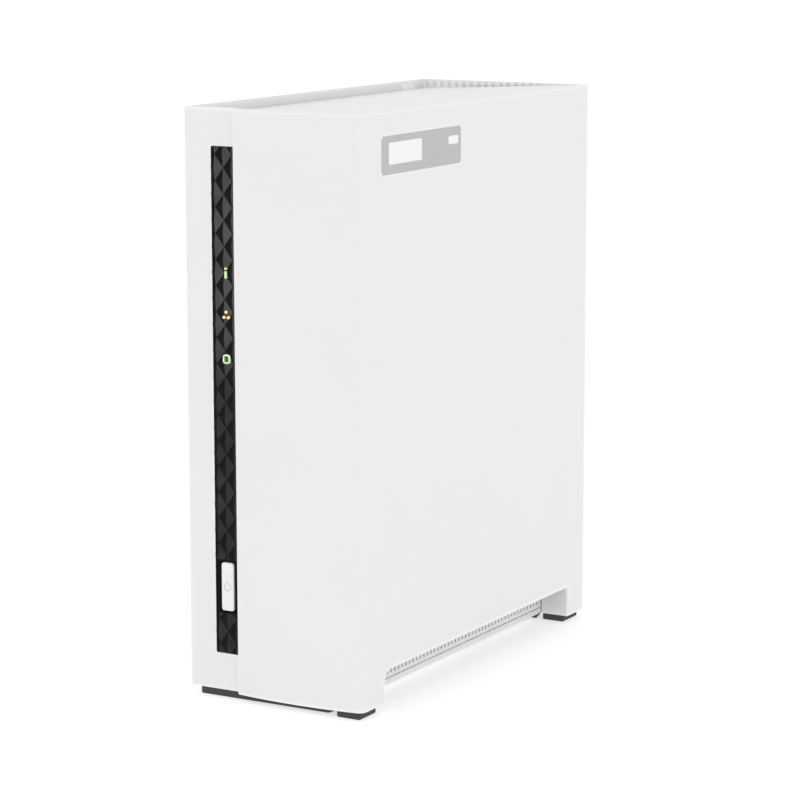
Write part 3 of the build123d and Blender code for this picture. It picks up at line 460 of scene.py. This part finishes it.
def facetTree():
    sizes = {"Rows": facets["rows"], "Period": facets["period"], "Column": facets["column"],
             "Peak": facets["peak"], "First X": 0.0, "First Z": facets["firstZ"], "Plate Y": 0.0}
    tree, start, end = newTree("facetRows", sizes)
    points = tree.nodes.new("GeometryNodePoints")
    count = treeMath(tree, "MULTIPLY", start.outputs["Rows"], facets["columns"])
    tree.links.new(count, points.inputs["Count"])
    index = tree.nodes.new("GeometryNodeInputIndex").outputs["Index"]
    row = treeMath(tree, "FLOOR", treeMath(tree, "DIVIDE", index, facets["columns"]))
    column = treeMath(tree, "MODULO", index, facets["columns"])
    odd = treeMath(tree, "MODULO", column, 2)
    drop = treeMath(tree, "ADD", row, treeMath(tree, "MULTIPLY", odd, 0.5))
    across = treeMath(tree, "MULTIPLY", column, start.outputs["Column"])
    down = treeMath(tree, "MULTIPLY", drop, start.outputs["Period"])
    place = tree.nodes.new("ShaderNodeCombineXYZ")
    tree.links.new(treeMath(tree, "ADD", start.outputs["First X"], across), place.inputs["X"])
    tree.links.new(start.outputs["Plate Y"], place.inputs["Y"])
    tree.links.new(treeMath(tree, "SUBTRACT", start.outputs["First Z"], down), place.inputs["Z"])
    moved = tree.nodes.new("GeometryNodeSetPosition")
    tree.links.new(points.outputs["Points"], moved.inputs["Geometry"])
    tree.links.new(place.outputs["Vector"], moved.inputs["Position"])
    # one facet: a four-sided point, turned to face the front
    cone = tree.nodes.new("GeometryNodeMeshCone")
    cone.fill_type = "NONE"
    cone.inputs["Vertices"].default_value = 4
    cone.inputs["Radius Bottom"].default_value = 1.0
    cone.inputs["Radius Top"].default_value = 0.0
    cone.inputs["Depth"].default_value = 1.0
    size = tree.nodes.new("ShaderNodeCombineXYZ")
    tree.links.new(start.outputs["Column"], size.inputs["X"])
    tree.links.new(treeMath(tree, "MULTIPLY", start.outputs["Period"], 0.5), size.inputs["Y"])
    tree.links.new(start.outputs["Peak"], size.inputs["Z"])
    turned = tree.nodes.new("GeometryNodeTransform")
    turned.inputs["Rotation"].default_value = (math.radians(90), 0, 0)
    tree.links.new(cone.outputs["Mesh"], turned.inputs["Geometry"])
    tree.links.new(size.outputs["Vector"], turned.inputs["Scale"])
    copies = tree.nodes.new("GeometryNodeInstanceOnPoints")
    tree.links.new(moved.outputs["Geometry"], copies.inputs["Points"])
    tree.links.new(turned.outputs["Geometry"], copies.inputs["Instance"])
    real = tree.nodes.new("GeometryNodeRealizeInstances")
    tree.links.new(copies.outputs["Instances"], real.inputs["Geometry"])
    # painted reflection and shade: faces that lean to the left are darker than those that lean to the right,
    # as if only the right-leaning faces reflected a bright light
    darker = tree.nodes.new("GeometryNodeSetMaterial")
    darker.inputs["Material"].default_value = finishes["facetPaintedShade"]
    tree.links.new(real.outputs["Geometry"], darker.inputs["Geometry"])
    normal = tree.nodes.new("GeometryNodeInputNormal")
    split = tree.nodes.new("ShaderNodeSeparateXYZ")
    tree.links.new(normal.outputs["Normal"], split.inputs["Vector"])
    lighter = tree.nodes.new("GeometryNodeSetMaterial")
    lighter.inputs["Material"].default_value = finishes["facetPaintedReflection"]
    tree.links.new(treeMath(tree, "GREATER_THAN", split.outputs["X"], 0.0), lighter.inputs["Selection"])
    tree.links.new(darker.outputs["Geometry"], lighter.inputs["Geometry"])
    tree.links.new(lighter.outputs["Geometry"], end.inputs["Geometry"])
    return tree, sizes


def cutField(mesh, name, lowX, highX, lowZ, highZ, plateY):
    # trims the facets to a rectangle and closes the cut edges down to the plate
    bm = bmesh.new()
    bm.from_mesh(mesh)
    bmesh.ops.remove_doubles(bm, verts=bm.verts, dist=0.001 * mm)
    cuts = (((lowX, 0, 0), (-1, 0, 0)), ((highX, 0, 0), (1, 0, 0)),
            ((0, 0, lowZ), (0, 0, -1)), ((0, 0, highZ), (0, 0, 1)))
    for point, normal in cuts:
        everything = bm.verts[:] + bm.edges[:] + bm.faces[:]
        bmesh.ops.bisect_plane(bm, geom=everything, plane_co=point, plane_no=normal, clear_outer=True)
    rim = [edge for edge in bm.edges if edge.is_boundary]
    grownRim = bmesh.ops.extrude_edge_only(bm, edges=rim)
    for item in grownRim["geom"]:
        if isinstance(item, bmesh.types.BMVert):
            item.co.y = plateY
    bmesh.ops.remove_doubles(bm, verts=bm.verts, dist=0.0001 * mm)
    bmesh.ops.holes_fill(bm, edges=[edge for edge in bm.edges if edge.is_boundary], sides=0)
    bmesh.ops.recalc_face_normals(bm, faces=bm.faces)
    result = mesh.copy()
    result.name = name
    bm.to_mesh(result)
    bm.free()
    for polygon in result.polygons:
        polygon.use_smooth = False
    return result


def stripFacets():
    low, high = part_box("front_strip")
    buttonLow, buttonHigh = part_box("power_button")
    tree, sizes = facetTree()
    sizes["First X"] = high.x - facets["rightInset"] - (facets["columns"] - 1) * facets["column"]
    sizes["Plate Y"] = low.y
    field = grown("facetField", tree, sizes)
    lowX, highX = low.x + facets["edge"], high.x - facets["edge"]
    # the button's box holds its hidden flange, so the visible cap is that much smaller at each end
    capLow = buttonLow.z + facets["buttonFlange"] - facets["buttonGap"]
    capHigh = buttonHigh.z - facets["buttonFlange"] + facets["buttonGap"]
    spans = {"facetsUpper": (capHigh, high.z - facets["edge"]),
             "facetsLower": (low.z + facets["edge"], capLow)}
    for name, (lowZ, highZ) in spans.items():
        newPiece(name, cutField(field, name, lowX, highX, lowZ, highZ, low.y), "housing")


stripFacets()
print("strip facets made")


# Lit marks, standing just clear of the facets

def lightMarks():
    look = dict(stand=0.06 * mm, bar=2.2 * mm, corner=0.12 * mm, dot=0.45 * mm, line=0.5 * mm,
                outerCorner=0.85 * mm, innerCorner=0.35 * mm,
                shadeGap=0.02 * mm, shadeCorner=0.33 * mm, shadeSink=0.15 * mm)
    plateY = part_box("front_strip")[0].y
    near = plateY - facets["peak"] - look["stand"]

    # a bar with a dot above it
    low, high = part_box("light_status")
    x, wide = (low.x + high.x) / 2, high.x - low.x
    bm = bmesh.new()
    prism(bm, roundedBox(x, low.z + look["bar"] / 2, wide, look["bar"], look["corner"]), near, plateY)
    prism(bm, roundedBox(x, high.z - wide / 2, wide, wide, look["corner"]), near, plateY)
    status = newPiece("statusMark", meshFrom("statusMark", bm, finishes["green"]), "housing")
    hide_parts("light_status")

    # three dots
    low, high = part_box("light_network")
    dot = look["dot"]
    spots = (((low.x + high.x) / 2, high.z - dot), (low.x + dot, low.z + dot), (high.x - dot, low.z + dot))
    bm = bmesh.new()
    for dotX, dotZ in spots:
        prism(bm, roundedBox(dotX, dotZ, 2 * dot, 2 * dot, dot, 6), near, plateY)
    dots = meshFrom("networkMark", bm, finishes["amber"])
    network = newPiece("networkMark", dots, "housing")
    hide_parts("light_network")

    # a rounded ring, and the dim window inside it
    low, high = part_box("light_disk")
    x, z = (low.x + high.x) / 2, (low.z + high.z) / 2
    wide, tall = high.x - low.x, high.z - low.z
    innerWide, innerTall = wide - 2 * look["line"], tall - 2 * look["line"]
    outer = roundedBox(x, z, wide, tall, look["outerCorner"], 6)
    inner = roundedBox(x, z, innerWide, innerTall, look["innerCorner"], 6)
    bm = bmesh.new()
    rings = [[bm.verts.new((px, py, pz)) for px, pz in points] for points, py in
             ((outer, near), (inner, near), (inner, plateY), (outer, plateY))]
    for first, second in zip(rings, rings[1:] + rings[:1]):
        for i in range(len(outer)):
            j = (i + 1) % len(outer)
            bm.faces.new((first[i], first[j], second[j], second[i]))
    disk = newPiece("diskMark", meshFrom("diskMark", bm, finishes["green"]), "housing")
    bm = bmesh.new()
    gap = 2 * look["shadeGap"]
    shade = roundedBox(x, z, innerWide - gap, innerTall - gap, look["shadeCorner"], 6)
    prism(bm, shade, near + look["shadeSink"], plateY)
    newPiece("diskShade", meshFrom("diskShade", bm, finishes["greenShade"]), "housing")
    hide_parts("light_disk")


lightMarks()
print("light marks made")


# Lip behind the front seam, so that nothing inside shows through it

def seamLip():
    look = dict(reach=1.7 * mm, chamfer=0.3 * mm, coverLead=0.05 * mm, clearance=0.35 * mm,
                thick=1.0 * mm, bottom=2.0 * mm, top=6.5 * mm)
    stripLow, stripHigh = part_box("front_strip")
    shellLow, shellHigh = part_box("left_shell")
    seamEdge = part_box("side_cover")[0].x
    # the cover's inner face is a little ahead of the shell's front
    near = shellLow.y - look["coverLead"] + look["clearance"]
    far = near + look["thick"]
    shoulder = seamEdge + look["reach"]
    tip = shoulder + look["chamfer"]
    plan = [(stripHigh.x, near), (shoulder, near), (tip, near + look["chamfer"]),
            (tip, far), (stripHigh.x, far)]
    spans = {"seamLipBottom": (shellLow.z + look["bottom"], stripLow.z, "white", "white_plastic"),
             "seamLipStrip": (stripLow.z, stripHigh.z, "stripPlate", "strip_black"),
             "seamLipTop": (stripHigh.z, shellHigh.z - look["top"], "white", "white_plastic")}
    for name, (low, high, finish, slot) in spans.items():
        bm = bmesh.new()
        rings = [[bm.verts.new((x, y, z)) for x, y in plan] for z in (low, high)]
        bm.faces.new(rings[0])
        bm.faces.new(rings[1])
        for i in range(len(plan)):
            j = (i + 1) % len(plan)
            bm.faces.new((rings[0][i], rings[0][j], rings[1][j], rings[1][i]))
        newPiece(name, meshFrom(name, bm, finishes[finish]), "housing")


seamLip()
print("seam lip made")


# Power mark inlaid in the button

def buttonMark():
    look = dict(ringRadius=1.3 * mm, line=0.40 * mm, opening=40, steps=28, sink=0.05 * mm, depth=0.10 * mm,
                stemRise=1.2 * mm, stemWidth=0.28 * mm, stemHeight=1.4 * mm, stemCorner=0.1 * mm)
    low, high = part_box("power_button")
    x, z = (low.x + high.x) / 2, (low.z + high.z) / 2
    near = low.y + look["sink"]
    far = near + look["depth"]
    outer, inner = look["ringRadius"] + look["line"] / 2, look["ringRadius"] - look["line"] / 2
    start, end, steps = 90 + look["opening"], 450 - look["opening"], look["steps"]
    angles = [math.radians(start + (end - start) * step / steps) for step in range(steps + 1)]
    bm = bmesh.new()
    rings = []
    for radius, y in ((outer, near), (inner, near), (inner, far), (outer, far)):
        circle = [(x + radius * math.cos(angle), y, z + radius * math.sin(angle)) for angle in angles]
        rings.append([bm.verts.new(point) for point in circle])
    for first, second in zip(rings, rings[1:] + rings[:1]):
        for i in range(steps):
            bm.faces.new((first[i], first[i + 1], second[i + 1], second[i]))
    for i in (0, steps):
        bm.faces.new([ring[i] for ring in rings])
    stem = roundedBox(x, z + look["stemRise"], look["stemWidth"], look["stemHeight"], look["stemCorner"])
    prism(bm, stem, near, far)
    newPiece("powerMark", meshFrom("powerMark", bm, finishes["mark"]), "button")


buttonMark()
print("power mark made")


# Blank panels on the side label

def labelPanels():
    # y and z are each panel's middle, measured from the label's own edges
    low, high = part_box("cover_label")
    rise = 0.04 * mm
    panels = {
        "labelPanel": dict(y=low.y + 14.9 * mm, z=low.z + 6.4 * mm,
                           long=20.6 * mm, tall=6.8 * mm, corner=0.5 * mm),
        "labelTab": dict(y=high.y - 5.15 * mm, z=high.z - 4.25 * mm,
                         long=6.5 * mm, tall=2.7 * mm, corner=0.7 * mm),
    }
    for name, panel in panels.items():
        bm = bmesh.new()
        outline = roundedBox(panel["y"], panel["z"], panel["long"], panel["tall"], panel["corner"])
        prism(bm, outline, -rise, 0.0)
        ontoRightSide(bm, high.x)
        newPiece(name, meshFrom(name, bm, finishes["labelWhite"]), "cover")


labelPanels()
print("label panels made")


# Small parts scattered on the free areas of the main board

boardBits = dict(spacing=2.6 * mm, density=150000, seed=7, long=1.6 * mm, wide=0.9 * mm, tall=0.7 * mm,
                 scale=(0.6, 1.25), lift=0.3 * mm)


def boardTree():
    sizes = {"Spacing": boardBits["spacing"], "Seed": boardBits["seed"], "Long": boardBits["long"],
             "Wide": boardBits["wide"], "Tall": boardBits["tall"]}
    tree, start, end = newTree("boardBits", sizes)
    scatter = tree.nodes.new("GeometryNodeDistributePointsOnFaces")
    scatter.distribute_method = "POISSON"
    tree.links.new(start.outputs["Geometry"], scatter.inputs["Mesh"])
    tree.links.new(start.outputs["Spacing"], scatter.inputs["Distance Min"])
    tree.links.new(start.outputs["Seed"], scatter.inputs["Seed"])
    scatter.inputs["Density Max"].default_value = boardBits["density"]
    block = tree.nodes.new("GeometryNodeMeshCube")
    size = tree.nodes.new("ShaderNodeCombineXYZ")
    tree.links.new(start.outputs["Tall"], size.inputs["X"])
    tree.links.new(start.outputs["Long"], size.inputs["Y"])
    tree.links.new(start.outputs["Wide"], size.inputs["Z"])
    tree.links.new(size.outputs["Vector"], block.inputs["Size"])
    quarter = tree.nodes.new("FunctionNodeRandomValue")
    quarter.data_type = "INT"
    quarter.inputs["Min"].default_value = 0
    quarter.inputs["Max"].default_value = 1
    tree.links.new(start.outputs["Seed"], quarter.inputs["Seed"])
    turn = tree.nodes.new("ShaderNodeCombineXYZ")
    tree.links.new(treeMath(tree, "MULTIPLY", quarter.outputs["Value"], math.pi / 2), turn.inputs["X"])
    scale = tree.nodes.new("FunctionNodeRandomValue")
    scale.data_type = "FLOAT"
    scale.inputs["Min"].default_value = boardBits["scale"][0]
    scale.inputs["Max"].default_value = boardBits["scale"][1]
    tree.links.new(start.outputs["Seed"], scale.inputs["Seed"])
    copies = tree.nodes.new("GeometryNodeInstanceOnPoints")
    tree.links.new(scatter.outputs["Points"], copies.inputs["Points"])
    tree.links.new(block.outputs["Mesh"], copies.inputs["Instance"])
    tree.links.new(turn.outputs["Vector"], copies.inputs["Rotation"])
    tree.links.new(scale.outputs["Value"], copies.inputs["Scale"])
    real = tree.nodes.new("GeometryNodeRealizeInstances")
    tree.links.new(copies.outputs["Instances"], real.inputs["Geometry"])
    dressed = tree.nodes.new("GeometryNodeSetMaterial")
    dressed.inputs["Material"].default_value = finishes["chip"]
    tree.links.new(real.outputs["Geometry"], dressed.inputs["Geometry"])
    tree.links.new(dressed.outputs["Geometry"], end.inputs["Geometry"])
    return tree, sizes


def scatterBoardBits():
    low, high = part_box("main_board")
    x = high.x + boardBits["lift"]
    # free areas, as shares of the board's depth and height
    areas = ((0.14, 0.10, 0.55, 0.32), (0.06, 0.36, 0.11, 0.70), (0.60, 0.10, 0.76, 0.60),
             (0.32, 0.70, 0.58, 0.95), (0.60, 0.80, 0.84, 0.88))
    corners, faces = [], []
    for y0, z0, y1, z1 in areas:
        base = len(corners)
        for shareY, shareZ in ((y0, z0), (y1, z0), (y1, z1), (y0, z1)):
            corners.append((x, low.y + shareY * (high.y - low.y), low.z + shareZ * (high.z - low.z)))
        faces.append((base, base + 1, base + 2, base + 3))
    patches = bpy.data.meshes.new("boardAreas")
    patches.from_pydata(corners, [], faces)
    tree, sizes = boardTree()
    newPiece("boardBits", grown("boardBits", tree, sizes, patches), "housing")


scatterBoardBits()
print("board parts scattered")


# Blank paper label on the disk's lid

def diskLabel():
    look = dict(fromFront=44 * mm, fromBottom=24 * mm, long=46 * mm, tall=22 * mm, corner=2 * mm,
                thick=0.1 * mm)
    low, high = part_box("drive_lid")
    y, z = low.y + look["fromFront"], low.z + look["fromBottom"]
    bm = bmesh.new()
    prism(bm, roundedBox(y, z, look["long"], look["tall"], look["corner"]), -look["thick"], 0.0)
    ontoRightSide(bm, high.x)
    newPiece("diskLabel", meshFrom("diskLabel", bm, finishes["labelWhite"]), "disk")


# Two small windows on the network socket's face

def socketLights():
    look = dict(fromRight=1.3 * mm, fromEnd=2.2 * mm, wide=1.4 * mm, tall=2.2 * mm, corner=0.2 * mm,
                stand=0.08 * mm)
    low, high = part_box("network_jack")
    x = high.x - look["fromRight"]
    bm = bmesh.new()
    for z in (low.z + look["fromEnd"], high.z - look["fromEnd"]):
        window = roundedBox(x, z, look["wide"], look["tall"], look["corner"])
        prism(bm, window, high.y, high.y + look["stand"])
    newPiece("socketLights", meshFrom("socketLights", bm, finishes["clear"]), "housing")


# Blank round label on the fan's hub

def hubLabel():
    look = dict(radius=10.5 * mm, thick=0.08 * mm)
    low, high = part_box("fan_rotor")
    x, z = (low.x + high.x) / 2, (low.z + high.z) / 2
    radius = look["radius"]
    bm = bmesh.new()
    prism(bm, roundedBox(x, z, 2 * radius, 2 * radius, radius, 10), low.y - look["thick"], low.y)
    newPiece("hubLabel", meshFrom("hubLabel", bm, finishes["labelWhite"]), "rotor")


diskLabel()
socketLights()
hubLabel()
print("inner details made")


# Floor, light and camera

def studio():
    look = dict(floor=((0.50, 0.50, 0.50), (0.52, 0.52, 0.52)), glow=0.57, half=30,
                world=1.0, aim=(0, 0, 0.09))
    half = look["half"]
    floorMesh = bpy.data.meshes.new("floor")
    corners = [(-half, -half, 0), (half, -half, 0), (half, half, 0), (-half, half, 0)]
    floorMesh.from_pydata(corners, [], [(0, 1, 2, 3)])
    floor = bpy.data.objects.new("floor", floorMesh)
    scene.collection.objects.link(floor)
    material, tree, shader, place = newSurface("paleFloor")
    tree.links.new(tones(tree, noise(tree, place, 3), *look["floor"]), shader.inputs["Base Color"])
    shader.inputs["Emission Color"].default_value = (1, 1, 1, 1)
    shader.inputs["Emission Strength"].default_value = look["glow"]
    shader.inputs["Roughness"].default_value = 0.9
    shader.inputs["Specular IOR Level"].default_value = 0.1
    floorMesh.materials.append(material)
    world = bpy.data.worlds.new("studio")
    world.use_nodes = True
    world.node_tree.nodes["Background"].inputs["Color"].default_value = (1, 1, 1, 1)
    world.node_tree.nodes["Background"].inputs["Strength"].default_value = look["world"]
    scene.world = world
    lamps = {
        "key": dict(spot=(1.6, -1.1, 0.6), size=0.9, power=0.2),
        "fill": dict(spot=(-0.9, -2.0, 0.5), size=1.4, power=0.6),
        "over": dict(spot=(1.1, 0.1, 1.6), size=1.2, power=0.1),
    }
    for name, values in lamps.items():
        lamp = bpy.data.lights.new(name, "AREA")
        lamp.size = values["size"]
        lamp.energy = values["power"]
        light = bpy.data.objects.new(name, lamp)
        light.location = values["spot"]
        towards = Vector(look["aim"]) - Vector(values["spot"])
        light.rotation_euler = towards.to_track_quat("-Z", "Y").to_euler()
        scene.collection.objects.link(light)


def camera():
    # place in metres, angles in degrees, lens in millimetres
    look = dict(spot=(0.47804, -0.83298, 0.25568), turn=29.711, dip=9.955, roll=0.05, lens=131.47)
    data = bpy.data.cameras.new("camera")
    data.sensor_width = 36
    data.lens = look["lens"]
    data.clip_end = 100
    seat = bpy.data.objects.new("camera", data)
    seat.location = look["spot"]
    angles = (90 - look["dip"], look["roll"], look["turn"])
    seat.rotation_euler = [math.radians(angle) for angle in angles]
    scene.collection.objects.link(seat)
    scene.camera = seat


studio()
camera()
scene.view_settings.view_transform = "Standard"
print("studio set")
